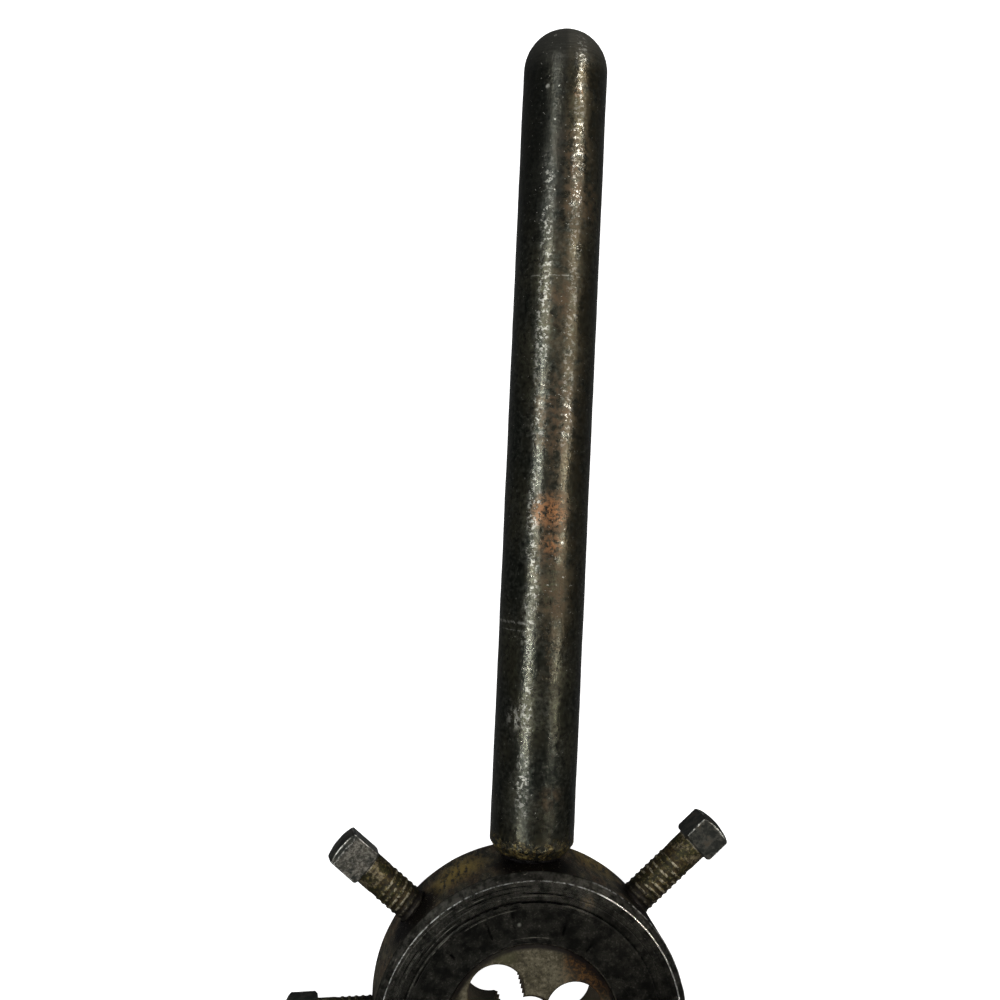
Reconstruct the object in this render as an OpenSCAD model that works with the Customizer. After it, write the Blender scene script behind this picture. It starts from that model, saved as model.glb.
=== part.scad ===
// Round die stock with a round thread-cutting die.
// The collar's axis is Z and its open rear face lies on Z = 0, with the shoulder face up.
// The two handles lie along Y. All sizes are in millimetres and all angles in degrees.

/* [Collar] */
// Outside diameter of the collar
collar_d = 57.15; // [52:0.05:66]
// Height of the collar, from its rear face to its shoulder face
collar_h = 19.05; // [18:0.05:24]
// Thickness of the shoulder that the die rests against
shoulder_h = 3.175; // [2:0.025:5]
// Diameter of the window in the shoulder
window_d = 31.75; // [26:0.05:36]
// Width of the bevel round the shoulder face
bevel_w = 1.27; // [0.4:0.01:2]
// Height of the bevel round the shoulder face
bevel_h = 1.2; // [0.4:0.05:2]
// Chamfer round the rear face
rear_chamfer = 1.27; // [0.3:0.01:2]
// Chamfer of the window's edge
window_chamfer = 0.3; // [0.1:0.05:0.8]
// Diameter of the turned groove on the shoulder face
groove_d = 47; // [40:0.5:49]
// Width of the turned groove
groove_w = 0.5; // [0.2:0.05:1]
// Depth of the turned groove
groove_depth = 0.25; // [0.1:0.05:0.8]

/* [Handles] */
// Diameter of a handle
handle_d = 15.875; // [12:0.005:16]
// Distance from the collar's axis to a handle's tip
handle_reach = 184.2; // [120:0.1:260]
// Diameter of the threaded neck that screws into the collar
neck_d = 11.1125; // [8:0.0005:12]
// Length of neck that shows between the collar and the handle
neck_gap = 0.6; // [0.2:0.1:3]
// Length of the chamfer at the handle's collar end
handle_chamfer_l = 1.9; // [0.5:0.1:4]
// Depth of the chamfer at the handle's collar end
handle_chamfer_w = 1.3; // [0.5:0.1:2]
// Distance from the neck's end to the pocket
neck_setback = 0.6; // [0.2:0.1:3]

/* [Set screws] */
// Direction of the middle screw of the left-hand three
centre_angle = 183; // [176:0.5:188]
// Angle from the middle screw to its two neighbours
near_spread = 43; // [36:0.5:50]
// Angle from the middle screw to the far pair
far_spread = 138.5; // [132:0.5:144]
// Outside diameter of the screw thread
screw_d = 6.2; // [5:0.05:7]
// Thread pitch of the screws
screw_pitch = 1.27; // [0.8:0.01:1.6]
// Depth of the screw thread
screw_thread_depth = 0.7; // [0.3:0.05:0.9]
// Length of a screw under its head
screw_length = 19.5; // [17:0.5:26]
// Length of plain shank next to the head
plain_shank = 3.5; // [1:0.1:6]
// Width of the square head across its flats
head_flats = 6.6; // [6:0.05:10]
// Height of a head to the top of its crown
head_h = 6.1; // [3:0.1:8]
// Height of the upper left screw's longer head
long_head_h = 7.2; // [3:0.1:9]
// Radius of a head's crowned end
crown_r = 10.6; // [8:0.1:30]
// Length of the screw's point
point_l = 1.4; // [0.5:0.1:3]
// Width of the flat on the middle screw's point
centre_point_flat = 0.8; // [0.4:0.1:4]
// Width of the flat on the other screws' points
side_point_flat = 3.2; // [0.4:0.1:4]
// Distance that the upper right screw is backed off the die
back_off_right_upper = 5; // [0.5:0.1:6]
// Distance that the upper left screw is backed off the die
back_off_left_upper = 1.4; // [0.5:0.1:6]
// Distance that the lower left screw is backed off the die
back_off_left_lower = 2; // [0.5:0.1:6]
// Distance that the lower right screw is backed off the die
back_off_right_lower = 3.5; // [0.5:0.1:6]
// Turn of the upper right screw's head about its axis
turn_right_upper = 0; // [0:1:89]
// Turn of the upper left screw's head about its axis
turn_left_upper = 8; // [0:1:89]
// Turn of the middle screw's head about its axis
turn_centre = 1; // [0:1:89]
// Turn of the lower left screw's head about its axis
turn_left_lower = 31; // [0:1:89]
// Turn of the lower right screw's head about its axis
turn_right_lower = 70; // [0:1:89]

/* [Die] */
// Outside diameter of the die
die_d = 38.1; // [34:0.05:40]
// Thickness of the die
die_h = 12.7; // [8:0.05:13.5]
// Chamfer round the die's edges
die_chamfer = 0.5; // [0.2:0.05:1]
// Diameter of a clearance hole
relief_d = 10.4; // [7:0.1:11]
// Distance from the die's axis to a clearance hole's axis
relief_radius = 8.5; // [7.5:0.1:10]
// Number of clearance holes
relief_count = 3; // [3:1:4]
// Direction of the first clearance hole
relief_angle = 17.7; // [10:0.1:40]
// Diameter inside the die's cutting thread
thread_minor_d = 9.2; // [8:0.05:12]
// Depth of the cutting thread
thread_depth = 0.95; // [0.4:0.05:1.2]
// Pitch of the cutting thread
thread_pitch = 1.814; // [1:0.001:2.2]
// Depth of the tapered lead at each face
lead_depth = 1.4; // [0.5:0.1:2.5]
// Width of the split through one side of the die
split_w = 1.2; // [0.5:0.1:3]
// Width of a dimple in the die's rim
dimple_d = 4; // [2:0.1:5]
// Depth of a dimple in the die's rim
dimple_depth = 1.2; // [0.5:0.1:2]

/* [Fits] */
// Gap round the die in its pocket
die_fit = 0.15; // [0.05:0.01:0.3]
// Gap between the die's face and the shoulder
die_seat_gap = 0.025; // [0.01:0.005:0.1]
// Gap round a set screw in its hole
screw_fit = 0.075; // [0.03:0.005:0.1]
// Gap round a handle's neck in its hole
neck_fit = 0.045; // [0.02:0.005:0.1]
// Gap between a seated screw's point and the die's rim
point_gap = 0.05; // [0.02:0.01:0.2]
// Height of the handles' underside above the rear face
handle_lift = 0.06; // [0.02:0.01:1]

/* [Hidden] */
$fn = 96;
// Length of shank inside a head, so that head and shank are one solid
head_overlap = head_h / 2;
// Overshoot of a cut past the face that it opens
cut = 1;
// Half the width of a thread groove at its mouth and at its root, as shares of the pitch
groove_mouth = 7 / 16;
groove_root = 1 / 16;

collar_r = collar_d / 2;
pocket_r = die_d / 2 + die_fit;
pocket_h = collar_h - shoulder_h;
die_top = pocket_h - die_seat_gap;
die_bottom = die_top - die_h;
// The handles and the screws share one plane, where the handles all but touch the bench
mid_plane = handle_d / 2 + handle_lift;
handle_r = handle_d / 2;
screw_r = screw_d / 2;
// Distance from the collar's axis to the underside of a fully seated screw's head
seated_head = die_d / 2 + point_gap + screw_length;
relief_step = 360 / relief_count;
// The split leaves through the last clearance hole
split_angle = relief_angle + (relief_count - 1) * relief_step;

// The profile of a row of thread grooves along +Z between two heights, on a shank or bore of radius r.
// A groove with a depth above 0 goes into a shank, and with one below 0 into the wall of a bore.
function groove_points(from, to, r, depth, pitch) = [
    for (k = [0 : floor((to - from) / pitch) - 1])
        let (z = from + (k + 0.5) * pitch)
        each [
            [r, z - groove_mouth * pitch],
            [r - depth, z - groove_root * pitch],
            [r - depth, z + groove_root * pitch],
            [r, z + groove_mouth * pitch]
        ]
];

module collar_blank() {
    rotate_extrude()
        polygon([
            [pocket_r, 0],
            [collar_r - rear_chamfer, 0],
            [collar_r, rear_chamfer],
            [collar_r, collar_h - bevel_h],
            [collar_r - bevel_w, collar_h],
            [groove_d / 2 + groove_w / 2, collar_h],
            [groove_d / 2, collar_h - groove_depth],
            [groove_d / 2 - groove_w / 2, collar_h],
            [window_d / 2 + window_chamfer, collar_h],
            [window_d / 2, collar_h - window_chamfer],
            [window_d / 2, pocket_h],
            [pocket_r, pocket_h]
        ]);
}

// A hole through the collar's wall, from the pocket outwards in the direction given
module wall_hole(angle, r) {
    rotate([0, 0, angle])
        translate([window_d / 2, 0, mid_plane])
            rotate([0, 90, 0])
                cylinder(r = r, h = collar_r - window_d / 2 + cut);
}

module collar() {
    color([0.24, 0.23, 0.2])
        difference() {
            collar_blank();
            for (a = [90, 270])
                wall_hole(a, neck_d / 2 + neck_fit);
            for (a = [0, near_spread, -near_spread, far_spread, -far_spread])
                wall_hole(centre_angle + a, screw_r + screw_fit);
        }
}

// A handle along +X from the collar's axis, turned to its own direction
module handle(angle) {
    inner = collar_r + neck_gap;
    color([0.13, 0.13, 0.13])
        rotate([0, 0, angle])
            translate([0, 0, mid_plane])
                rotate([0, 90, 0]) {
                    translate([0, 0, pocket_r + neck_setback])
                        cylinder(d = neck_d, h = inner - pocket_r);
                    translate([0, 0, inner])
                        cylinder(r1 = handle_r - handle_chamfer_w, r2 = handle_r, h = handle_chamfer_l);
                    translate([0, 0, inner + handle_chamfer_l])
                        cylinder(r = handle_r, h = handle_reach - handle_r - inner - handle_chamfer_l);
                    translate([0, 0, handle_reach - handle_r])
                        sphere(r = handle_r);
                }
}

// A screw along +Z whose point is at the origin, with its head turned about its own axis
module set_screw_shape(point_flat, head_turn, height) {
    thread_end = screw_length - plain_shank;
    rotate_extrude()
        polygon(concat(
            [[0, 0], [point_flat / 2, 0], [screw_r, point_l]],
            groove_points(point_l, thread_end, screw_r, screw_thread_depth, screw_pitch),
            [[screw_r, screw_length + head_overlap], [0, screw_length + head_overlap]]
        ));
    rotate([0, 0, head_turn])
        intersection() {
            translate([-head_flats / 2, -head_flats / 2, screw_length])
                cube([head_flats, head_flats, height]);
            translate([0, 0, screw_length + height - crown_r])
                sphere(r = crown_r);
        }
}

module set_screw(angle, back_off, point_flat, head_turn, height = head_h) {
    color([0.3, 0.28, 0.24])
        rotate([0, 0, angle])
            translate([seated_head - screw_length + back_off, 0, mid_plane])
                rotate([0, 90, 0])
                    set_screw_shape(point_flat, head_turn, height);
}

module die_blank() {
    rotate_extrude()
        polygon([
            [0, die_bottom],
            [die_d / 2 - die_chamfer, die_bottom],
            [die_d / 2, die_bottom + die_chamfer],
            [die_d / 2, die_top - die_chamfer],
            [die_d / 2 - die_chamfer, die_top],
            [0, die_top]
        ]);
}

// The bore with its cutting thread and a tapered lead at each face
module die_thread() {
    minor_r = thread_minor_d / 2;
    lead_start = die_bottom + lead_depth;
    lead_end = die_top - lead_depth;
    mouth_r = minor_r + thread_depth * (lead_depth + cut) / lead_depth;
    rotate_extrude()
        polygon(concat(
            [[0, die_bottom - cut], [mouth_r, die_bottom - cut], [minor_r, lead_start]],
            groove_points(lead_start, lead_end, minor_r, -thread_depth, thread_pitch),
            [[minor_r, lead_end], [mouth_r, die_top + cut], [0, die_top + cut]]
        ));
}

// The dimples stand round the split as the screws stand round the middle screw
module rim_dimple(angle) {
    depth = dimple_depth + cut;
    rotate([0, 0, angle])
        translate([die_d / 2 - dimple_depth, 0, (die_top + die_bottom) / 2])
            rotate([0, 90, 0])
                cylinder(d1 = 0, d2 = dimple_d * depth / dimple_depth, h = depth);
}

module round_die() {
    color([0.45, 0.41, 0.34])
        difference() {
            die_blank();
            die_thread();
            for (k = [0 : relief_count - 1])
                rotate([0, 0, relief_angle + k * relief_step])
                    translate([relief_radius, 0, die_bottom - cut])
                        cylinder(d = relief_d, h = die_h + 2 * cut);
            rotate([0, 0, split_angle])
                translate([relief_radius, -split_w / 2, die_bottom - cut])
                    cube([die_d, split_w, die_h + 2 * cut]);
            for (a = [near_spread, -near_spread, far_spread, -far_spread])
                rim_dimple(split_angle + a);
        }
}

module upper_handle() {
    handle(90);
}

module lower_handle() {
    handle(270);
}

module right_upper_screw() {
    set_screw(centre_angle - far_spread, back_off_right_upper, side_point_flat, turn_right_upper);
}

module left_upper_screw() {
    set_screw(
        centre_angle - near_spread, back_off_left_upper, side_point_flat, turn_left_upper, long_head_h);
}

module left_centre_screw() {
    set_screw(centre_angle, 0, centre_point_flat, turn_centre);
}

module left_lower_screw() {
    set_screw(centre_angle + near_spread, back_off_left_lower, side_point_flat, turn_left_lower);
}

module right_lower_screw() {
    set_screw(centre_angle + far_spread, back_off_right_lower, side_point_flat, turn_right_lower);
}

collar();
upper_handle();
lower_handle();
round_die();
right_upper_screw();
left_upper_screw();
left_centre_screw();
left_lower_screw();
right_lower_screw();
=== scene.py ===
import math

import bpy
from mathutils import Matrix, Quaternion, Vector, noise


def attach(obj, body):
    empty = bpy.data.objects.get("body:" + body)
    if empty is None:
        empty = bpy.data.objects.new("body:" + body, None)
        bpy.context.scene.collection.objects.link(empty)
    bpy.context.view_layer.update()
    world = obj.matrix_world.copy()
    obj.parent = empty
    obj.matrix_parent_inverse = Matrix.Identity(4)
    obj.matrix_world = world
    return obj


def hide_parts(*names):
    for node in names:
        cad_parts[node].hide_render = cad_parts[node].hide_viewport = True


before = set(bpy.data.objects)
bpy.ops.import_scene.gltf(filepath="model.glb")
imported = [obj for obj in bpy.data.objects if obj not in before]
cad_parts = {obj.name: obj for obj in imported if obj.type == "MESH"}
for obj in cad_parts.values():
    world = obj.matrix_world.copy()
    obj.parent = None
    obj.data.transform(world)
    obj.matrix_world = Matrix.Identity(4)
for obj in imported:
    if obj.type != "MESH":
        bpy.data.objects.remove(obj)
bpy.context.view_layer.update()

# The view. The tool lies shoulder face up, and the camera looks down on it from over the upper
# handle, so the picture's lower edge cuts off the lower handle and half of the collar.
view = bpy.data.cameras.new("view")
view.sensor_width = 36
view.lens = 36.4686
view.clip_start = 0.01
camera = bpy.data.objects.new("view", view)
bpy.context.scene.collection.objects.link(camera)
camera.location = (-0.028000, 0.092662, 0.198098)
camera_turn = Vector((-0.0087347, 0.1005689, -0.0452017))
camera.rotation_mode = "QUATERNION"
camera.rotation_quaternion = Quaternion(camera_turn, camera_turn.length).inverted()
bpy.context.scene.camera = camera
bpy.context.scene.view_settings.view_transform = "Standard"

# The studio. A white table, which the camera sees but which throws no light back on the tool, as in a
# picture cut out of its background, two long soft lamps that lie along the handles, and a dim one above.
bpy.ops.object.select_all(action="DESELECT")
bpy.ops.mesh.primitive_plane_add(size=8, location=(0, 0, -0.0003))
floor = bpy.context.object
floor.name = "table"
table_white = bpy.data.materials.new("table_white")
table_white.use_nodes = True
table_shader = table_white.node_tree.nodes["Principled BSDF"]
table_shader.inputs["Base Color"].default_value = (0.8, 0.8, 0.79, 1)
table_shader.inputs["Roughness"].default_value = 0.9
table_shader.inputs["Specular IOR Level"].default_value = 0.1
table_shader.inputs["Emission Color"].default_value = (1, 1, 1, 1)
table_shader.inputs["Emission Strength"].default_value = 1.0
floor.data.materials.append(table_white)
floor.visible_diffuse = False
floor.visible_glossy = False

room = bpy.data.worlds.new("room")
bpy.context.scene.world = room
room.use_nodes = True
room.node_tree.nodes["Background"].inputs["Color"].default_value = (0.95, 0.98, 1, 1)
room.node_tree.nodes["Background"].inputs["Strength"].default_value = 0.085


def lamp(name, start, end, width, power, tint=(1, 1, 1)):
    """A soft lamp that runs from one point to another and faces the tool."""
    data = bpy.data.lights.new(name, "AREA")
    data.shape = "RECTANGLE"
    data.size = width
    data.size_y = (Vector(end) - Vector(start)).length
    data.energy = power
    data.color = tint
    made = bpy.data.objects.new(name, data)
    bpy.context.scene.collection.objects.link(made)
    along = (Vector(end) - Vector(start)).normalized()
    middle = (Vector(start) + Vector(end)) / 2
    away = middle - Vector((0, middle.y, 0.008))
    away = (away - along * away.dot(along)).normalized()
    turn = Matrix((along.cross(away), along, away)).transposed()
    made.matrix_world = Matrix.Translation(middle) @ turn.to_4x4()


lamp("left_lamp", (-0.431, -0.20, 0.56), (-0.355, 0.50, 0.61), 0.045, 3.2, (0.98, 1, 1))
lamp("right_lamp", (0.418, -0.05, 0.569), (0.418, 0.62, 0.569), 0.045, 2.8, (1, 0.97, 0.92))
lamp("sky_lamp", (0, -0.1, 1.3), (0, 0.9, 1.3), 1.0, 0.8)

# The collar. A turned steel ring with a thin shoulder at the front and a pocket for the die behind it,
# blackened, then worn bright on the rim and caked with brown grime on its wall.
# Five tapped holes take the set screws, and two take the handles' necks.
MM = 0.001
collar_r = 28.575
collar_h = 19.05
bevel_w = 1.27
bevel_h = 1.2
rear_chamfer = 1.27
edge_break = 0.3
window_r = 15.875
pocket_r = 19.2
pocket_h = 15.875
pocket_fillet = 0.35
mid_plane = 7.9975
neck_hole_r = 5.60125
screw_hole_r = 3.175
hole_mouth = 0.75
screw_angles = (183, 140, 226, 44.5, 321.5)


def rounded(corners, steps=4):
    """The profile's points, with each corner (r, z, radius) turned into a small arc."""
    points = []
    for k, (r, z, radius) in enumerate(corners):
        here = Vector((r, z))
        if radius == 0 or k in (0, len(corners) - 1):
            points.append((r, z))
            continue
        before = (Vector(corners[k - 1][:2]) - here).normalized()
        after = (Vector(corners[k + 1][:2]) - here).normalized()
        half = before.angle(after) / 2
        centre = here + (before + after).normalized() * (radius / math.sin(half))
        start = (here + before * (radius / math.tan(half)) - centre).normalized()
        end = (here + after * (radius / math.tan(half)) - centre).normalized()
        for step in range(steps + 1):
            points.append(tuple(centre + start.slerp(end, step / steps) * radius))
    return points


def turned(name, points, count, solid):
    """A piece turned about Z: a circle, then each next ring extruded from the last."""
    bpy.ops.object.select_all(action="DESELECT")
    fill = "NGON" if solid else "NOTHING"
    bpy.ops.mesh.primitive_circle_add(vertices=count, radius=points[0][0] * MM, fill_type=fill)
    piece = bpy.context.object
    piece.name = name
    bpy.ops.object.mode_set(mode="EDIT")
    bpy.ops.mesh.select_all(action="SELECT")
    bpy.ops.transform.translate(value=(0, 0, points[0][1] * MM))
    for (r0, z0), (r1, z1) in zip(points, points[1:]):
        bpy.ops.mesh.extrude_region()
        bpy.ops.transform.translate(value=(0, 0, (z1 - z0) * MM))
        bpy.ops.transform.resize(value=(r1 / r0, r1 / r0, 1), center_override=(0, 0, 0))
    bpy.ops.mesh.select_all(action="SELECT")
    bpy.ops.mesh.remove_doubles(threshold=1e-7)
    bpy.ops.mesh.normals_make_consistent(inside=False)
    bpy.ops.object.mode_set(mode="OBJECT")
    return piece


def apply_boolean(piece, tool, operation):
    """Cuts the tool out of the piece, joins it on, or keeps what they share, and removes the tool."""
    modifier = piece.modifiers.new("tool", "BOOLEAN")
    modifier.operation = operation
    modifier.solver = "EXACT"
    modifier.object = tool
    bpy.ops.object.select_all(action="DESELECT")
    bpy.context.view_layer.objects.active = piece
    bpy.ops.object.modifier_apply(modifier=modifier.name)
    bpy.data.objects.remove(tool)


def place(piece, matrix):
    """Puts the piece where the matrix says, with its place in its mesh."""
    bpy.ops.object.select_all(action="DESELECT")
    piece.select_set(True)
    bpy.context.view_layer.objects.active = piece
    piece.matrix_world = matrix
    bpy.ops.object.transform_apply(location=True, rotation=True, scale=True)


def outward(angle, distance):
    """The way from the collar's axis out through its wall: Z turned to that direction."""
    return (Matrix.Rotation(math.radians(angle), 4, "Z")
            @ Matrix.Translation((distance * MM, 0, mid_plane * MM))
            @ Matrix.Rotation(math.pi / 2, 4, "Y"))


def smooth(piece, degrees):
    """Shades the piece smooth, with its sharper edges kept and its flats flat."""
    bpy.ops.object.select_all(action="DESELECT")
    piece.select_set(True)
    bpy.context.view_layer.objects.active = piece
    bpy.ops.object.shade_smooth_by_angle(angle=math.radians(degrees))
    flat = piece.modifiers.new("flat", "WEIGHTED_NORMAL")
    flat.keep_sharp = True
    bpy.ops.object.modifier_apply(modifier=flat.name)


def knock(piece, depth, grain, where=None):
    """Dents the surface by up to depth mm, in patches about grain mm across."""
    moves = []
    for vertex in piece.data.vertices:
        spot = vertex.co / MM
        share = 1 if where is None else where(spot)
        moves.append(vertex.normal * (share * depth * MM * noise.noise(spot / grain)))
    for vertex, move in zip(piece.data.vertices, moves):
        vertex.co += move


# The profile runs from the pocket's mouth out to the wall, up it in even rings, over the bevel to the
# face with its turned grooves, and back down through the window and the pocket.
# A groove is given by its radius, half width, depth and the rounding of its edges.
wall_rings = [(collar_r, 2.6 + 1.35 * k, 0) for k in range(11)]
grooves = ((26.1, 0.1, 0.05, 0.05), (25.05, 0.15, 0.08, 0.05), (23.5, 0.3, 0.16, 0.1))
groove_rings = []
for groove_r, half, depth, soft in grooves:
    groove_rings += [(groove_r + half, collar_h, soft), (groove_r, collar_h - depth, soft),
                     (groove_r - half, collar_h, soft)]
collar = turned("collar_ring", rounded([
    (pocket_r, 0, 0), (pocket_r + 0.3, 0, 0), (22, 0, 0), (collar_r - rear_chamfer, 0, 0.3),
    (collar_r, rear_chamfer, 0.3), *wall_rings,
    (collar_r, collar_h - bevel_h, 0.35), (collar_r - bevel_w, collar_h, 0.14), *groove_rings,
    (21.5, collar_h, 0), (19.5, collar_h, 0), (17.6, collar_h, 0), (window_r + edge_break, collar_h, 0.12),
    (window_r, collar_h - edge_break, 0.12), (window_r, 17.4, 0), (window_r, pocket_h, 0.1),
    (17.4, pocket_h, 0), (pocket_r - pocket_fillet, pocket_h, 0), (pocket_r, pocket_h - pocket_fillet, 0),
    (pocket_r, 12, 0), (pocket_r, 4, 0), (pocket_r, 0, 0)]), 240, solid=False)


def rim_wear(spot):
    """1 on the edges between the face, the bevel and the wall, and 0 away from them."""
    r = math.hypot(spot.x, spot.y)
    edge = min(math.hypot(r - (collar_r - bevel_w), spot.z - collar_h),
               math.hypot(r - collar_r, spot.z - (collar_h - bevel_h)))
    return max(0, 1 - edge / 0.9)


knock(collar, 0.07, 2.2, rim_wear)
knock(collar, 0.05, 0.9, rim_wear)
knock(collar, 0.05, 3.5, lambda spot: 1 if math.hypot(spot.x, spot.y) > 28.4 and spot.z < 17.5 else 0)

holes = [(90, neck_hole_r), (270, neck_hole_r), *((angle, screw_hole_r) for angle in screw_angles)]
for angle, hole_r in holes:
    mouth_r = hole_r + hole_mouth
    drill = turned("drill", [
        (hole_r, 17), (hole_r, collar_r - 0.45), (mouth_r, collar_r + 0.3), (mouth_r, 32)], 48, solid=True)
    place(drill, outward(angle, 0))
    apply_boolean(collar, drill, "DIFFERENCE")
smooth(collar, 32)


class Value:
    """A value in a material's nodes. Arithmetic on it adds Math nodes."""

    def __init__(self, socket):
        self.socket = socket

    def node(self, kind, values, output=0, **settings):
        """Adds a node: its settings first, then its sockets' values and links."""
        tree = self.socket.id_data
        made = tree.nodes.new("ShaderNode" + kind)
        for name, setting in settings.items():
            setattr(made, name, setting)
        for name, value in values.items():
            if isinstance(value, Value):
                tree.links.new(value.socket, made.inputs[name])
            else:
                made.inputs[name].default_value = value
        return Value(made.outputs[output])

    def maths(self, operation, *values):
        return self.node("Math", dict(enumerate(values)), operation=operation)

    def __add__(self, other):
        return self.maths("ADD", self, other)

    __radd__ = __add__

    def __sub__(self, other):
        return self.maths("SUBTRACT", self, other)

    def __rsub__(self, other):
        return self.maths("SUBTRACT", other, self)

    def __mul__(self, other):
        return self.maths("MULTIPLY", self, other)

    __rmul__ = __mul__

    def clouds(self, size, detail, rough, stretch=(1, 1, 1), shift=(0, 0, 0)):
        """Soft patches about size mm across, from 0 to 1, on coordinates in mm."""
        spot = self.node("Mapping", {"Vector": self, "Scale": stretch, "Location": shift})
        pattern = {"Vector": spot, "Scale": 1 / size, "Detail": detail, "Roughness": rough}
        return spot.node("TexNoise", pattern)

    def rise(self, low, high):
        """0 below low and 1 above high, with a soft step between, or the other way round."""
        return self.node("MapRange", {0: self, 1: low, 2: high}, interpolation_type="SMOOTHSTEP")

    def near(self, centre, reach):
        """1 at the centre, falling to 0 at reach on either side."""
        return self.maths("ABSOLUTE", self - centre).rise(reach, 0)

    def between(self, low, high, soft):
        """1 from low to high, falling to 0 over soft outside them."""
        return self.rise(low - soft, low) * self.rise(high + soft, high)

    def mix(self, below, above):
        """The colour below where this is 0, and the colour above where it is 1."""
        return self.node("Mix", {0: self, 6: below, 7: above}, output=2, data_type="RGBA")


def finish_on(name):
    """A new material, its shader, and the piece's own coordinates in mm."""
    material = bpy.data.materials.new(name)
    material.use_nodes = True
    tree = material.node_tree
    here = Value(tree.nodes.new("ShaderNodeTexCoord").outputs["Object"])
    mm = here.node("VectorMath", {0: here, 3: 1 / MM}, operation="SCALE")
    return material, tree.nodes["Principled BSDF"], mm


def feed(shader, **values):
    """Links values to the shader's sockets of these names."""
    for name, value in values.items():
        shader.id_data.links.new(value.socket, shader.inputs[name.replace("_", " ")])


def parts_of(mm):
    """X, Y and Z of the coordinates."""
    split = mm.node("SeparateXYZ", {0: mm})
    outputs = split.socket.node.outputs
    return Value(outputs[0]), Value(outputs[1]), Value(outputs[2])


def reach_of(mm, keep):
    """The distance from an axis: the length of the coordinates that keep leaves in."""
    flat = mm.node("VectorMath", {0: mm, 1: keep}, operation="MULTIPLY")
    return mm.node("VectorMath", {0: flat}, output=1, operation="LENGTH")


def spot_at(mm, centre, reach):
    """1 at a point on the piece, falling to 0 at reach mm from it."""
    gap = mm.node("VectorMath", {0: mm, 1: centre}, output=1, operation="DISTANCE")
    return gap.rise(reach, 0)


def out_from_axis(distance, angle, z):
    """A point this far from the collar's axis, in this direction and at this height."""
    return (distance * math.cos(math.radians(angle)), distance * math.sin(math.radians(angle)), z)


def on_wall(angle, z):
    """A point on the collar's wall."""
    return out_from_axis(collar_r, angle, z)


def relief(height, shader, depth, strength):
    """Feeds the shader a bump of this height, where 1 stands for depth mm."""
    bump = height.node("Bump", {"Height": height, "Strength": strength, "Distance": depth * MM})
    feed(shader, Normal=bump)


# The collar's colours, from its scale to the grime on its wall.
scale_black = (0.009, 0.009, 0.008, 1)
scale_grey = (0.026, 0.025, 0.021, 1)
rubbed_speck = (0.080, 0.077, 0.065, 1)
reflection_grey = (0.13, 0.125, 0.105, 1)
cut_black = (0.0015, 0.0015, 0.0015, 1)
tan_grease = (0.09, 0.066, 0.036, 1)
punched_steel = (0.20, 0.20, 0.17, 1)
satin_dark = (0.035, 0.034, 0.028, 1)
satin_light = (0.105, 0.10, 0.085, 1)
bare_rim_and_highlight = (0.85, 0.84, 0.80, 1)
lip_highlight = (0.22, 0.20, 0.16, 1)
window_shade_black = (0.007, 0.005, 0.003, 1)
wall_olive = (0.040, 0.036, 0.022, 1)
wall_brown = (0.085, 0.073, 0.045, 1)
wall_rust = (0.075, 0.040, 0.018, 1)
wall_pit = (0.012, 0.010, 0.006, 1)
wall_crust = (0.19, 0.155, 0.09, 1)
yellow_grease = (0.30, 0.21, 0.055, 1)
painted_shade_black = (0.008, 0.006, 0.006, 1)
wall_fleck = (0.45, 0.42, 0.34, 1)

collar_finish, shader, mm = finish_on("collar_blackened")
x, y, z = parts_of(mm)
radius = reach_of(mm, (1, 1, 0))
around = y.maths("ARCTAN2", y, x) * (180 / math.pi)
face = z.rise(collar_h - 0.3, collar_h - 0.1) * radius.rise(27.35, 27.15)
bevel = radius.rise(27.25, 27.5) * z.rise(17.65, 17.95)
wall = radius.rise(28.2, 28.45) * z.rise(17.9, 17.55)

# Scratched rings on the face: radius, half width, and the angles that each runs between.
# Nicks across it: angle, and the radii that each runs between.
dark_rings = (
    (25.5, 0.20, 100, 120), (25.0, 0.20, 68, 96), (23.45, 0.30, 77, 121), (22.7, 0.14, 96, 128),
    (26.4, 0.12, 92, 118), (24.4, 0.12, 128, 150), (22.9, 0.16, 140, 158), (25.6, 0.12, 136, 160))
# Painted reflection: these rings are scratches made lighter, as the lamps' reflection in them, over the
# angles that each runs between.
reflection_rings = (
    (24.2, 0.12, 126, 142), (25.9, 0.12, 111, 124), (23.1, 0.12, 132, 143), (17.2, 0.16, 80, 106),
    (26.6, 0.10, 124, 160), (25.2, 0.10, 140, 165), (22.3, 0.10, 100, 125), (24.6, 0.09, 84, 108))
nicks = (
    (101.8, 18.4, 21.8), (75.0, 18.5, 21.2), (115.0, 18.7, 21.6), (137.0, 19.8, 21.4), (58.0, 17.4, 18.6))
broken = mm.clouds(1.3, 4, 0.7, shift=(8, 8, 1)).rise(0.36, 0.56)
dark = 0
for ring, half, start, end in dark_rings:
    dark = dark + radius.near(ring, half) * around.between(start + 2, end - 2, 3)
ring_reflections = 0
for ring, half, start, end in reflection_rings:
    ring_reflections = ring_reflections + radius.near(ring, half) * around.between(start + 2, end - 2, 3)
dark = dark * broken
for angle, inner, outer in nicks:
    dark = dark + around.near(angle, 1.6) * radius.between(inner, outer, 0.6) * (0.25 + broken * 0.5)
dark = (dark * face).rise(0, 0.8)
ring_reflections = ring_reflections * face * broken

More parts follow.
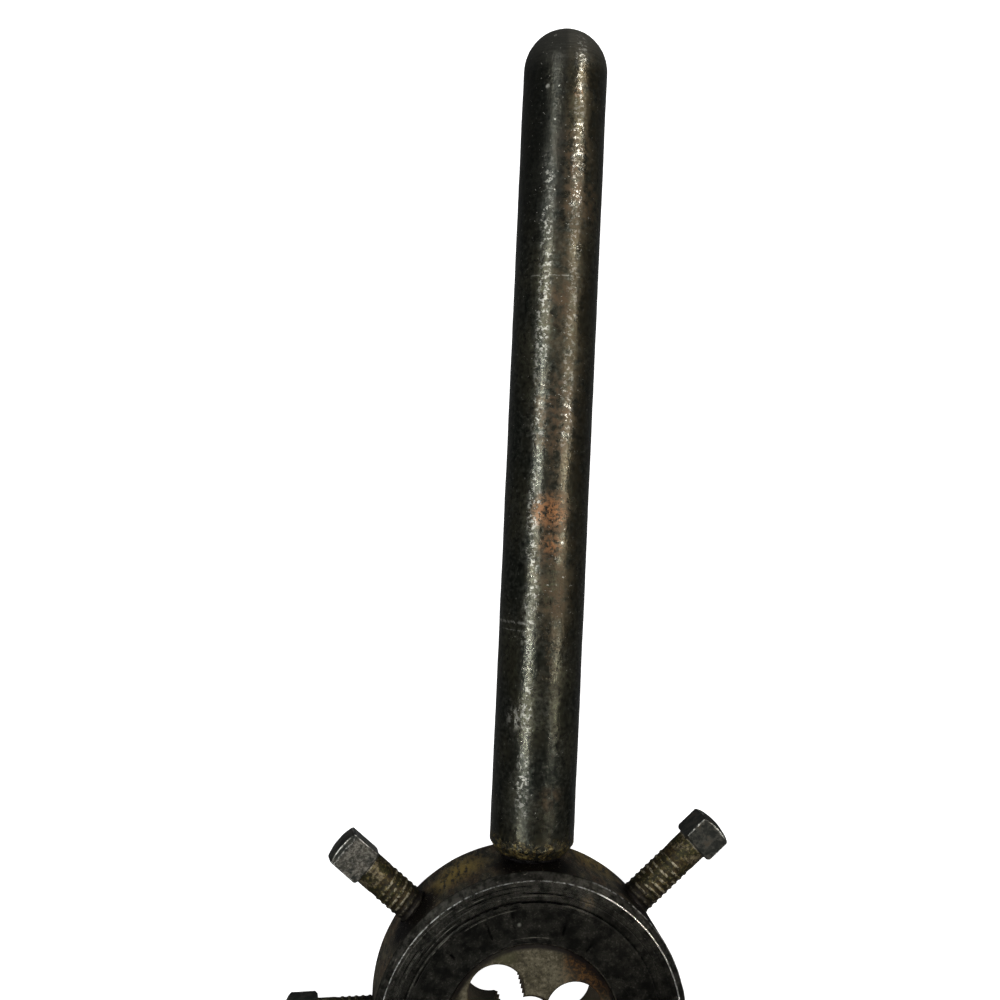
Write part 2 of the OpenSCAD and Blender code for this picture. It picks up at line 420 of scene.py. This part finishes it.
turning = radius.node("TexNoise", {"W": radius * 7, "Detail": 3}, noise_dimensions="1D")
fine = mm.clouds(0.42, 4, 0.72)
mottle = mm.clouds(2.6, 5, 0.65, shift=(3, 6, 2))
# Painted reflection: the turned lines on the face are made lighter from 70° to 172°, where the lamps catch
# them.
turning_reflections = turning.rise(0.50, 0.60) * radius.rise(21.6, 23.4) * around.between(70, 172, 14) * broken
colour = mottle.rise(0.38, 0.62).mix(scale_black, scale_grey)
colour = (fine.rise(0.53, 0.62) * mottle.rise(0.40, 0.60) * 0.5).mix(colour, rubbed_speck)
colour = (turning_reflections * 0.6 + ring_reflections * 0.9).mix(colour, reflection_grey)
colour = dark.mix(colour, cut_black)
tan_spot = spot_at(mm, out_from_axis(25.2, 69, collar_h), 1.9)
colour = (tan_spot * fine.rise(0.40, 0.58)).mix(colour, tan_grease)
punched = spot_at(mm, out_from_axis(19.67, 99.2, collar_h), 0.55)
colour = punched.mix(colour, punched_steel)

# The bevel is satin grey, and the edges on either side of it are worn to bare steel, with a painted
# highlight on them from about 12° to 64°, where the lamps catch the rim.
satin = mm.clouds(1.6, 5, 0.7, shift=(1, 4, 7)).rise(0.36, 0.62)
colour = bevel.mix(colour, satin.mix(satin_dark, satin_light))
rim = radius.near(27.26, 0.17) * z.rise(18.8, 18.92)
# Painted highlight: the rim's bare steel is laid on thicker from 16° to 60°, and the wall's upper edge is
# made bright only from 12° to 64°, where the light catches them.
rim_highlight_side = around.between(16, 60, 8)
ragged = mm.clouds(1.0, 4, 0.75, shift=(2, 1, 5))
bare = rim * (ragged.rise(0.40, 0.60) * 0.42 + rim_highlight_side * ragged.rise(0.30, 0.44))
outer_edge_highlight = radius.near(28.5, 0.22) * z.near(17.92, 0.35) * ragged.rise(0.42, 0.54)
outer_edge_highlight = outer_edge_highlight * around.between(12, 64, 8)
colour = (bare + outer_edge_highlight * 0.8).mix(colour, bare_rim_and_highlight)
# Painted highlight: a thin lighter line on the window's lip, only on the arc from 20° to 130°, where the
# light catches it.
lip_highlight_share = radius.near(16.1, 0.22) * z.rise(18.6, 18.9) * around.between(20, 130, 15) * broken
colour = (lip_highlight_share * 0.7).mix(colour, lip_highlight)
# Painted shade: the window's inner wall is made near-black, as the shade under its lip.
inside = radius.rise(15.98, 15.90)
colour = inside.mix(colour, window_shade_black)

# Grime on the wall: dark olive all over, cake of yellow grease and red-brown rust; and painted shadow by
# the holes, under the handles' ends and around the screws' roots.
cake = mm.clouds(1.0, 5, 0.75, stretch=(1, 1, 0.35), shift=(5, 1, 8))
yellow = (spot_at(mm, on_wall(118, 8.6), 7.5) * 1.1 + spot_at(mm, on_wall(131, 11), 6) * 0.6
          + spot_at(mm, on_wall(64, 4.5), 8) * 0.7 + spot_at(mm, on_wall(215, 9), 12) * 0.6
          + spot_at(mm, on_wall(300, 7), 13) * 0.7) * cake.rise(0.36, 0.56)
brown = mm.clouds(2.8, 5, 0.7, stretch=(1, 1, 0.4), shift=(2, 7, 1)).rise(0.45, 0.58)
# Painted shadow: near-black spots on the wall under each handle's end and around each screw's root, with
# the wall's shine taken off there too.
shade_spots = spot_at(mm, on_wall(90, 14), 12) * 1.3 + spot_at(mm, on_wall(270, 14), 12) * 1.3
for angle in screw_angles:
    shade_spots = shade_spots + spot_at(mm, on_wall(angle, 12.5), 10) * 1.3
wall_colour = mottle.rise(0.36, 0.64).mix(wall_olive, wall_brown)
wall_colour = (brown * 0.7).mix(wall_colour, wall_rust)
wall_colour = (cake.rise(0.50, 0.43) * 0.85).mix(wall_colour, wall_pit)
wall_colour = (cake.rise(0.54, 0.62) * 0.5).mix(wall_colour, wall_crust)
wall_colour = yellow.mix(wall_colour, yellow_grease)
shade_share = shade_spots.rise(0.15, 0.75) * 0.95
wall_colour = shade_share.mix(wall_colour, painted_shade_black)
specks = mm.clouds(0.32, 2, 0.6, shift=(4, 4, 4)).rise(0.66, 0.72) * wall
wall_colour = specks.mix(wall_colour, wall_fleck)
colour = wall.mix(colour, wall_colour)
height = (fine * 0.5 + turning * face * 0.35 - dark * 1.2 + ring_reflections * 0.4
          + cake * wall * 1.2 + mm.clouds(1.1, 4, 0.6, shift=(3, 3, 3)).rise(0.36, 0.46) * 0.5)
feed(shader, Base_Color=colour,
     Metallic=1.0 - wall * (1 - shade_share) * 0.7 - tan_spot * 0.4,
     Roughness=0.31 + fine * 0.10 + wall * 0.25 + dark * 0.3 + inside * 0.3 - bare * 0.08)
relief(height, shader, 0.10, 0.7)
collar.data.materials.append(collar_finish)
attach(collar, "stock")
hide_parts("collar")

# The handles. Each is one rod of black steel with a domed end, chamfered where it meets the collar,
# with a threaded neck that is screwed into the wall. Damp has rusted it, and bright specks are painted
# along its two highlights.
handle_r = 7.9375
handle_start = 29.175
handle_reach = 184.2
chamfer_l = 1.9
chamfer_depth = 1.3
neck_r = 5.55625
neck_start = 19.8


def rod(name, angle):
    """One handle, turned about Z and then laid along its direction."""
    chamfer_end = handle_start + chamfer_l
    dome = handle_reach - handle_r
    body_start = chamfer_end + 0.825
    rings = 98
    body = [(handle_r, body_start + (dome - body_start) * k / rings, 0) for k in range(rings + 1)]
    arc = [(handle_r * math.cos(math.radians(a)), dome + handle_r * math.sin(math.radians(a)), 0)
           for a in range(5, 90, 5)]
    piece = turned(name, rounded([
        (neck_r - 0.4, neck_start, 0), (neck_r, neck_start + 0.4, 0), (neck_r, handle_start, 0),
        (handle_r - chamfer_depth, handle_start, 0.25), (handle_r, chamfer_end, 0.6),
        *body, *arc]), 112, solid=True)
    knock(piece, 0.06, 9)
    knock(piece, 0.03, 1.6)
    place(piece, outward(angle, 0))
    smooth(piece, 40)
    return piece


upper_handle = rod("upper_rod", 90)
lower_handle = rod("lower_rod", 270)

# The handles' colours.
rod_black = (0.025, 0.028, 0.021, 1)
rod_olive = (0.054, 0.051, 0.034, 1)
rod_speck = (0.11, 0.11, 0.09, 1)
rod_pit = (0.008, 0.008, 0.007, 1)
brown_stain = (0.082, 0.064, 0.035, 1)
rust_dark = (0.058, 0.040, 0.023, 1)
rust_light = (0.092, 0.058, 0.030, 1)
rust_orange = (0.40, 0.17, 0.06, 1)
olive_film = (0.075, 0.080, 0.040, 1)
tip_dark = (0.060, 0.057, 0.045, 1)
tip_light = (0.125, 0.12, 0.10, 1)
left_shade_black = (0.016, 0.017, 0.015, 1)
highlight_steel = (0.34, 0.33, 0.29, 1)
bare_rod = (0.42, 0.41, 0.36, 1)
grease_dark = (0.045, 0.030, 0.010, 1)
grease_yellow = (0.33, 0.26, 0.10, 1)
neck_shade_black = (0.006, 0.005, 0.005, 1)

handle_finish, shader, mm = finish_on("handle_blackened")
x, y, z = parts_of(mm)
along = y.maths("ABSOLUTE", y)
round_about = x.maths("ARCTAN2", x, z - mid_plane) * (180 / math.pi)


def on_handle(distance, angle):
    """A point on the handle, this far along it and turned this far to the right of its top."""
    turn = math.radians(angle)
    return (handle_r * math.sin(turn), distance, mid_plane + handle_r * math.cos(turn))


speckle = mm.clouds(0.8, 3, 0.7)
grain = mm.clouds(1.9, 5, 0.7, shift=(4, 8, 1))
patches = mm.clouds(6, 5, 0.65, stretch=(1, 0.45, 1), shift=(1, 3, 5))
gaps = mm.clouds(7, 3, 0.6, stretch=(1, 0.7, 1), shift=(6, 2, 2))
colour = patches.rise(0.36, 0.64).mix(rod_black, rod_olive)
colour = (speckle.rise(0.48, 0.66) * 0.6).mix(colour, rod_speck)
colour = (speckle.rise(0.46, 0.34) * 0.8).mix(colour, rod_pit)

# Brown stain runs down the middle and the right side, and rust and orange bloom stand in it.
drift = (patches - 0.5) * 50
stain = (round_about - 16 + drift).near(0, 52) * along.between(78, 186, 20) * grain.rise(0.30, 0.62)
streak = (round_about - 2 + drift * 0.6).near(0, 24) * along.between(68, 160, 16)
rust = streak * grain.rise(0.38, 0.62)
bloom_places = (
    (131.5, -2, 6), (113, -5, 8), (106, -9, 6), (93, -3, 7), (84, 0, 6), (77, 10, 5),
    (159, 10, 6), (40.7, 14, 5), (150, 36, 9))
blooms = 0
for distance, angle, reach in bloom_places:
    blooms = blooms + spot_at(mm, on_handle(distance, angle), reach)
blooms = blooms * grain.rise(0.34, 0.60)
orange = (spot_at(mm, on_handle(93, -3), 4.5) + spot_at(mm, on_handle(169.8, 10), 1.2)
          + spot_at(mm, on_handle(87, 0), 3.0) * 0.7) * speckle.rise(0.42, 0.58)
colour = (stain * 0.8).mix(colour, brown_stain)
rusty = (rust * 0.45 + blooms * 0.65).rise(0, 1.0) * (0.35 + speckle.rise(0.36, 0.56) * 0.65)
colour = rusty.mix(colour, grain.rise(0.44, 0.60).mix(rust_dark, rust_light))
colour = (orange * 0.8).mix(colour, rust_orange)
olive = patches.rise(0.5, 0.62) * speckle.rise(0.5, 0.62) * 0.5
colour = olive.mix(colour, olive_film)

# Rubbed rings, a scuff, and flakes of bare steel.
flake = mm.clouds(0.55, 2, 0.6, shift=(8, 1, 3)).rise(0.69, 0.73)
strokes = mm.clouds(0.7, 3, 0.7, stretch=(1, 0.5, 1), shift=(3, 1, 9)).rise(0.50, 0.58)
scuff = spot_at(mm, on_handle(55, -38), 3.6) * strokes
rings = (along.near(136.1, 0.25) * 0.7 * round_about.between(-50, 28, 12)
         + along.near(72.4, 0.5) * round_about.between(-80, -34, 10)
         + along.near(71.0, 0.2) * round_about.between(-66, -30, 10)) * speckle.rise(0.40, 0.56)
pale = spot_at(mm, on_handle(170.9, -32), 0.7) + spot_at(mm, on_handle(87.4, 15.6), 0.5)
tip = along.rise(173, 181)
bands = along.node("TexNoise", {"W": along * 1.1, "Detail": 3}, noise_dimensions="1D").rise(0.46, 0.60)
colour = (tip * 0.9).mix(colour, bands.mix(tip_dark, tip_light))

# Bright specks are painted along the two lines where the lamps' highlights fall. Its left side is painted
# darker near both ends, where its highlight fades.
# Painted shade: the rod's left side is darkened near both ends, where its highlight is faint.
left_shade = (along.rise(50, 34) * 0.25 + along.between(152, 178, 14) * 0.8) * round_about.rise(0, -10)
colour = (left_shade * 0.8).mix(colour, left_shade_black)
# Painted highlight: specks of bright steel laid along the right and left highlight lines.
right_highlight_band = round_about.between(9, 18, 7) * along.between(112, 176, 12)
right_highlight_band = right_highlight_band * (0.4 + gaps.rise(0.56, 0.44) * 0.6)
left_highlight_band = round_about.between(-30, -19, 7) * along.between(44, 152, 12)
left_highlight_band = left_highlight_band * (0.3 + gaps.rise(0.46, 0.58) * 0.5)
highlight_specks = (right_highlight_band + left_highlight_band).rise(0, 1.0) * mm.clouds(0.75, 3, 0.7, shift=(9, 9, 3)).rise(0.52, 0.60)
colour = (highlight_specks * 0.85).mix(colour, highlight_steel)
bare = (flake * 0.8 + scuff + rings * 0.7 + pale).rise(0, 1.0)
colour = bare.mix(colour, bare_rod)

# Grease caked on the end by the collar.
end = along.rise(34.5, 30.6)
grease = end * mm.clouds(1.1, 5, 0.75, shift=(4, 2, 9)).rise(0.44, 0.58)
caked = mm.clouds(0.7, 4, 0.7).rise(0.46, 0.62).mix(grease_dark, grease_yellow)
colour = grease.mix(colour, caked)
# Painted shade: the neck between the rod's end and the wall is made near-black, as the shadowed gap.
neck = along.rise(29.6, 29.2)
colour = neck.mix(colour, neck_shade_black)
dull = (stain * 0.35 + rust * 0.6 + blooms * 0.5 + orange + grease).rise(0, 1.2) * (1 - highlight_specks)
feed(shader, Base_Color=colour,
     Metallic=0.84 - dull * 0.25 - tip * 0.4,
     Roughness=0.21 + gaps.rise(0.42, 0.64) * 0.17 + dull * 0.20 + tip * 0.18 + left_shade * 0.1)
relief(speckle + grain * 0.9 + grease * 0.8 - scuff * 0.6, shader, 0.085, 0.8)
for piece, node in ((upper_handle, "upper_handle"), (lower_handle, "lower_handle")):
    piece.data.materials.append(handle_finish)
    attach(piece, "stock")
    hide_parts(node)

# The set screws. Each is a square-head screw with a crowned end, cut from dark steel with a rolled
# right-hand thread, and turned into the wall until its point bears on the die. Grime fills the threads.
screw_r = 3.1
thread_root = 3.0
screw_pitch = 1.27
screw_length = 19.5
plain_shank = 3.5
point_l = 1.4
head_flats = 6.6
head_corner_r = 4.8
head_seat_r = 3.85
crown_r = 10.6
seated_point = 19.1


def ridge(name, root, crest, pitch, turns, start, root_half, crest_half, fade):
    """One thread's ridge: its section swept up round Z, closed and run out at both ends."""
    bpy.ops.object.select_all(action="DESELECT")
    bpy.ops.mesh.primitive_plane_add(size=1)
    made = bpy.context.object
    made.name = name
    section = [(root, -root_half), (crest, -crest_half), (root, root_half), (crest, crest_half)]
    for vertex, (r, z) in zip(made.data.vertices, section):
        vertex.co = (r * MM, 0, (start + z) * MM)
    bpy.ops.object.mode_set(mode="EDIT")
    bpy.ops.mesh.select_all(action="SELECT")
    bpy.ops.mesh.delete(type="ONLY_FACE")
    bpy.ops.object.mode_set(mode="OBJECT")
    sweep = made.modifiers.new("sweep", "SCREW")
    sweep.axis = "Z"
    sweep.angle = 2 * math.pi * turns
    sweep.screw_offset = pitch * turns * MM
    sweep.steps = sweep.render_steps = round(36 * turns)
    bpy.ops.object.modifier_apply(modifier=sweep.name)
    for vertex in made.data.vertices:
        angle = math.atan2(vertex.co.y, vertex.co.x) / (2 * math.pi)
        turn = angle + round((vertex.co.z / MM - start) / pitch - angle)
        r = math.hypot(vertex.co.x, vertex.co.y) / MM
        share = max(0.02, min(1, turn / fade, (turns - turn) / fade))
        new_r = root + (r - root) * share
        vertex.co.x *= new_r / r
        vertex.co.y *= new_r / r
    bpy.ops.object.mode_set(mode="EDIT")
    bpy.ops.mesh.select_mode(type="EDGE")
    bpy.ops.mesh.select_all(action="DESELECT")
    bpy.ops.mesh.select_non_manifold()
    bpy.ops.mesh.fill_holes(sides=4)
    bpy.ops.mesh.select_all(action="SELECT")
    bpy.ops.mesh.normals_make_consistent(inside=False)
    bpy.ops.mesh.select_mode(type="VERT")
    bpy.ops.object.mode_set(mode="OBJECT")
    return made


def square_head(head_h):
    """The head: a cube whose far face is drawn out to a low crown, with its near corners turned off."""
    bpy.ops.object.select_all(action="DESELECT")
    bpy.ops.mesh.primitive_cube_add(size=1)
    head = bpy.context.object
    for vertex in head.data.vertices:
        x, y, z = vertex.co
        vertex.co = (x * head_flats * MM, y * head_flats * MM, (screw_length + (z + 0.5) * head_h) * MM)
    bpy.ops.object.mode_set(mode="EDIT")
    bpy.ops.mesh.select_all(action="DESELECT")
    bpy.ops.object.mode_set(mode="OBJECT")
    for face in head.data.polygons:
        face.select = face.normal.z > 0.9
    bpy.ops.object.mode_set(mode="EDIT")
    bpy.ops.mesh.select_mode(type="FACE")
    bpy.ops.mesh.subdivide(number_cuts=9)
    bpy.ops.mesh.select_mode(type="VERT")
    bpy.ops.object.mode_set(mode="OBJECT")
    top = (screw_length + head_h) * MM
    for vertex in head.data.vertices:
        if vertex.co.z > top - 1e-6:
            across = (vertex.co.x ** 2 + vertex.co.y ** 2) / MM ** 2
            vertex.co.z = top - (crown_r - math.sqrt(crown_r ** 2 - across)) * MM
    wear = head.modifiers.new("wear", "BEVEL")
    wear.width = 0.25 * MM
    wear.segments = 3
    wear.limit_method = "ANGLE"
    wear.angle_limit = math.radians(40)
    bpy.ops.object.modifier_apply(modifier=wear.name)
    blank = turned("blank", [
        (head_seat_r, screw_length - 1), (head_seat_r, screw_length),
        (head_corner_r, screw_length + 0.75), (head_corner_r, screw_length + 12)], 48, solid=True)
    apply_boolean(head, blank, "INTERSECT")
    return head


def set_screw(name, angle, back_off, point_flat, head_turn, head_h):
    """One screw, made along Z and then set in its hole."""
    threaded = screw_length - plain_shank
    shank = turned(name, [
        (point_flat / 2, 0), (thread_root, 0.9 * point_l), (thread_root, threaded - 0.5),
        (screw_r, threaded + 0.4), (screw_r, screw_length - 0.3),
        (screw_r + 0.2, screw_length + 0.5)], 36, solid=True)
    turns = (threaded - point_l) / screw_pitch
    thread = ridge("thread", thread_root - 0.15, screw_r + 0.05, screw_pitch, turns,
                   start=point_l * 0.8, root_half=0.60, crest_half=0.16, fade=0.5)
    apply_boolean(shank, thread, "UNION")
    head = square_head(head_h)
    knock(head, 0.05, 1.3)
    place(head, Matrix.Rotation(math.radians(head_turn), 4, "Z"))
    apply_boolean(shank, head, "UNION")
    place(shank, outward(angle, seated_point + back_off))
    smooth(shank, 38)
    return shank


# The screws' colours: the heads' first, then the shanks'.
head_dark = (0.024, 0.026, 0.022, 1)
head_grey = (0.085, 0.083, 0.07, 1)
head_rust = (0.075, 0.052, 0.030, 1)
rubbed_dark = (0.085, 0.078, 0.062, 1)
rubbed_light = (0.30, 0.28, 0.24, 1)
worn_edge = (0.70, 0.69, 0.63, 1)
thread_olive = (0.032, 0.031, 0.009, 1)
thread_brown = (0.066, 0.044, 0.013, 1)
thread_tan = (0.27, 0.205, 0.08, 1)
thread_pit = (0.014, 0.010, 0.006, 1)
thread_shade = (0.016, 0.012, 0.007, 1)
crest_steel = (0.50, 0.46, 0.34, 1)


def screw_finish(name, angle, back_off, head_turn, head_h, worn_at):
    """The finish of one screw, laid out on the screw's own axis and on its head's flats."""
    material, shader, mm = finish_on(name)
    point_at = seated_point + back_off
    spot = mm.node("Mapping", {"Vector": mm, "Rotation": (0, 0, -math.radians(angle)),
                               "Location": (-point_at, 0, -mid_plane)})
    spot = mm.node("Mapping", {"Vector": spot, "Rotation": (-math.radians(head_turn), 0, 0)})
    up, across, over = parts_of(spot)
    out = reach_of(spot, (0, 1, 1))
    head = up.rise(screw_length - 0.25, screw_length + 0.05)
    fine = mm.clouds(0.6, 4, 0.75, shift=(1, 2, 6))
    rust = mm.clouds(1.8, 6, 0.7, shift=(2, 5, 3))
    flat_a = across.maths("ABSOLUTE", across)
    flat_b = over.maths("ABSOLUTE", over)
    half = head_flats / 2
    corner = flat_a.rise(half - 0.36, half - 0.12) * flat_b.rise(half - 0.36, half - 0.12)
    crown = up.rise(screw_length + head_h - 1.0, screw_length + head_h - 0.7)
    crown_edge = flat_a.maths("MAXIMUM", flat_a, flat_b).rise(half - 0.22, half - 0.05) * crown
    worn = flat_a.maths("MAXIMUM", corner * 0.7, crown_edge * 0.7)
    if worn_at:
        wander = up + (rust - 0.5) * 1.2
        line = wander.near(screw_length + worn_at, 0.2) * fine.rise(0.36, 0.5)
        worn = flat_a.maths("MAXIMUM", worn, line)
    worn = worn * mm.clouds(0.9, 4, 0.75, shift=(7, 7, 2)).rise(0.42, 0.56) * head
    steel = (fine * 0.3 + rust * 0.7).rise(0.44, 0.60).mix(head_dark, head_grey)
    steel = (rust.rise(0.54, 0.66) * 0.5).mix(steel, head_rust)
    if worn_at:
        rubbed = wander.rise(screw_length + worn_at, screw_length + worn_at - 0.5) * rust.rise(0.36, 0.54)
        pale = fine.rise(0.44, 0.60).mix(rubbed_dark, rubbed_light)
        steel = (rubbed * 0.7).mix(steel, pale)
    crest = out.rise(3.07, 3.13) * rust.rise(0.46, 0.56) * fine.rise(0.40, 0.52)
    grime = rust.rise(0.42, 0.58).mix(thread_olive, thread_brown)
    grime = (fine.rise(0.54, 0.62) * 0.55).mix(grime, thread_tan)
    grime = (fine.rise(0.48, 0.42) * 0.8).mix(grime, thread_pit)
    grime = (out.rise(3.07, 3.01) * 0.5).mix(grime, thread_shade)
    shank = (crest * 0.6).mix(grime, crest_steel)
    # Painted shade: the shank is darkened over the last few mm before it enters the wall.
    wall_shade_share = up.rise(32.6 - point_at, 28.9 - point_at)
    shank = (wall_shade_share * 0.85).mix(shank, painted_shade_black)
    colour = head.mix(shank, worn.mix(steel, worn_edge))
    feed(shader, Base_Color=colour,
         Metallic=0.68 + worn * 0.3,
         Roughness=0.36 + fine * 0.10 + (1 - head) * 0.16 - worn * 0.10)
    relief(fine * 0.8 + rust * 0.8 + corner * 0.2, shader, 0.07, 0.8)
    return material


# Each screw's direction, how far it is backed out, its point's width, its head's turn and height, and
# how far up the head a rubbed patch ends, or 0.
for name, angle, back_off, point_flat, head_turn, head_h, worn_at in (
        ("right_upper_screw", 44.5, 5, 3.2, 0, 6.1, 0), ("left_upper_screw", 140, 1.4, 3.2, 8, 7.2, 5.6),
        ("left_centre_screw", 183, 0, 0.8, 1, 6.1, 0), ("left_lower_screw", 226, 2, 3.2, 31, 6.1, 3.6),
        ("right_lower_screw", 321.5, 3.5, 3.2, 70, 6.1, 0)):
    piece = set_screw(name.replace("screw", "square_head"), angle, back_off, point_flat, head_turn, head_h)
    piece.data.materials.append(screw_finish(name + "_dark", angle, back_off, head_turn, head_h, worn_at))
    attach(piece, name)
    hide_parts(name)

# The die. A round disc of tool steel, dull and stained, with three clearance holes that break into
# its thread, a split through one of them, and dimples in the rim for the screws' points.
die_r = 19.05
die_bottom = 3.15
die_top = 15.85
relief_r = 5.2
relief_radius = 8.5
relief_angles = (17.7, 137.7, 257.7)
split_angle = 257.7
minor_r = 4.6
cut_depth = 0.95
cut_pitch = 1.814
lead_depth = 1.4
split_width = 1.2
near_spread = 43
far_spread = 138.5

die = turned("die_disc", rounded([
    (4, die_bottom, 0), (die_r - 0.5, die_bottom, 0.12), (die_r, die_bottom + 0.5, 0.12),
    (die_r, 7, 0), (die_r, 12, 0), (die_r, die_top - 0.5, 0.12), (die_r - 0.5, die_top, 0.12),
    (17, die_top, 0), (4, die_top, 0)]), 192, solid=True)
# The tap has 97 sides, so that no edge of it falls on an edge of its thread, which has 36 to the turn.
tap_mouth_r = minor_r + cut_depth * (lead_depth + 1) / lead_depth
tap = turned("tap", [
    (tap_mouth_r, die_bottom - 1), (minor_r, die_bottom + lead_depth),
    (minor_r, die_top - lead_depth), (tap_mouth_r, die_top + 1)], 97, solid=True)
thread = ridge("tap_thread", minor_r - 0.3, minor_r + cut_depth, cut_pitch, turns=6.0,
               start=die_bottom + 0.9, root_half=0.88, crest_half=0.13, fade=0.01)
apply_boolean(tap, thread, "UNION")
apply_boolean(die, tap, "DIFFERENCE")
for angle in relief_angles:
    turn = Matrix.Rotation(math.radians(angle), 4, "Z")
    drill = turned("drill", [
        (relief_r + 0.5, die_bottom - 0.25), (relief_r, die_bottom + 0.25), (relief_r, die_top - 0.2),
        (relief_r + 0.4, die_top + 0.2)], 72, solid=True)
    place(drill, turn @ Matrix.Translation((relief_radius * MM, 0, 0)))
    apply_boolean(die, drill, "DIFFERENCE")
bpy.ops.object.select_all(action="DESELECT")
bpy.ops.mesh.primitive_cube_add(size=1)
saw = bpy.context.object
place(saw, Matrix.Rotation(math.radians(split_angle), 4, "Z") @ Matrix.Translation((17 * MM, 0, 9 * MM))
      @ Matrix.Diagonal((14 * MM, split_width * MM, 20 * MM, 1)))
apply_boolean(die, saw, "DIFFERENCE")
for spread in (near_spread, -near_spread, far_spread, -far_spread):
    drill = turned("drill", [(0.15, die_r - 1.2), (3, die_r + 0.6)], 32, solid=True)
    place(drill, Matrix.Translation((0, 0, ((die_bottom + die_top) / 2 - mid_plane) * MM))
          @ outward(split_angle + spread, 0))
    apply_boolean(die, drill, "DIFFERENCE")
smooth(die, 32)


def on_die(distance, angle):
    """A point on the die's upper face."""
    return out_from_axis(distance, angle, die_top)


# The die's colours.
die_dark = (0.050, 0.042, 0.021, 1)
die_light = (0.115, 0.100, 0.062, 1)
die_speck = (0.22, 0.19, 0.13, 1)
die_pit = (0.022, 0.016, 0.009, 1)
die_green = (0.070, 0.068, 0.030, 1)
die_rust_dark = (0.014, 0.007, 0.003, 1)
die_rust = (0.125, 0.060, 0.018, 1)
shoulder_shadow_black = (0.006, 0.003, 0.002, 1)
bore_brown = (0.055, 0.032, 0.014, 1)

die_finish, shader, mm = finish_on("die_dull")
z = parts_of(mm)[2]
patches = mm.clouds(4, 5, 0.65, shift=(3, 1, 2))
fine = mm.clouds(0.6, 4, 0.75)
rust = (spot_at(mm, on_die(16.8, 40), 12) * 0.95 + spot_at(mm, on_die(13.9, 59.6), 3) * 0.2
        + spot_at(mm, on_die(14, 250), 8) * 0.7 + fine * 0.5 + patches * 0.4).rise(0.62, 1.2)
green = (spot_at(mm, on_die(13.65, 111.4), 4.5) * 0.8 + patches * 0.3).rise(0.35, 0.9)
colour = patches.rise(0.38, 0.62).mix(die_dark, die_light)
colour = (fine.rise(0.53, 0.62) * 0.55).mix(colour, die_speck)
colour = (fine.rise(0.48, 0.40) * 0.65).mix(colour, die_pit)
colour = (green * 0.6).mix(colour, die_green)
rust_colour = fine.rise(0.40, 0.66).mix(die_rust_dark, die_rust)
colour = rust.mix(colour, rust_colour)

# A painted shadow darkens the face close under the shoulder, further in on one side than on the other.
shoulder_shadow_centre = (0.5, -1.66, die_top)
from_shadow_centre = mm.node("VectorMath", {0: mm, 1: shoulder_shadow_centre}, output=1, operation="DISTANCE")
shoulder_shadow = from_shadow_centre.rise(15.1, 15.85) * z.rise(15.5, 15.8) * (0.75 + patches.rise(0.4, 0.6) * 0.25)
colour = shoulder_shadow.mix(colour, shoulder_shadow_black)
bore = z.rise(15.8, 15.5)
colour = (bore * patches.rise(0.3, 0.7)).mix(colour, bore_brown)
feed(shader, Base_Color=colour, Metallic=0.45 + rust * 0.2, Roughness=0.50 + rust * 0.2 + fine * 0.1)
relief(fine * 0.8 + mm.clouds(1.2, 4, 0.6) * 0.8, shader, 0.07, 0.8)
die.data.materials.append(die_finish)
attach(die, "die")
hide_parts("round_die")
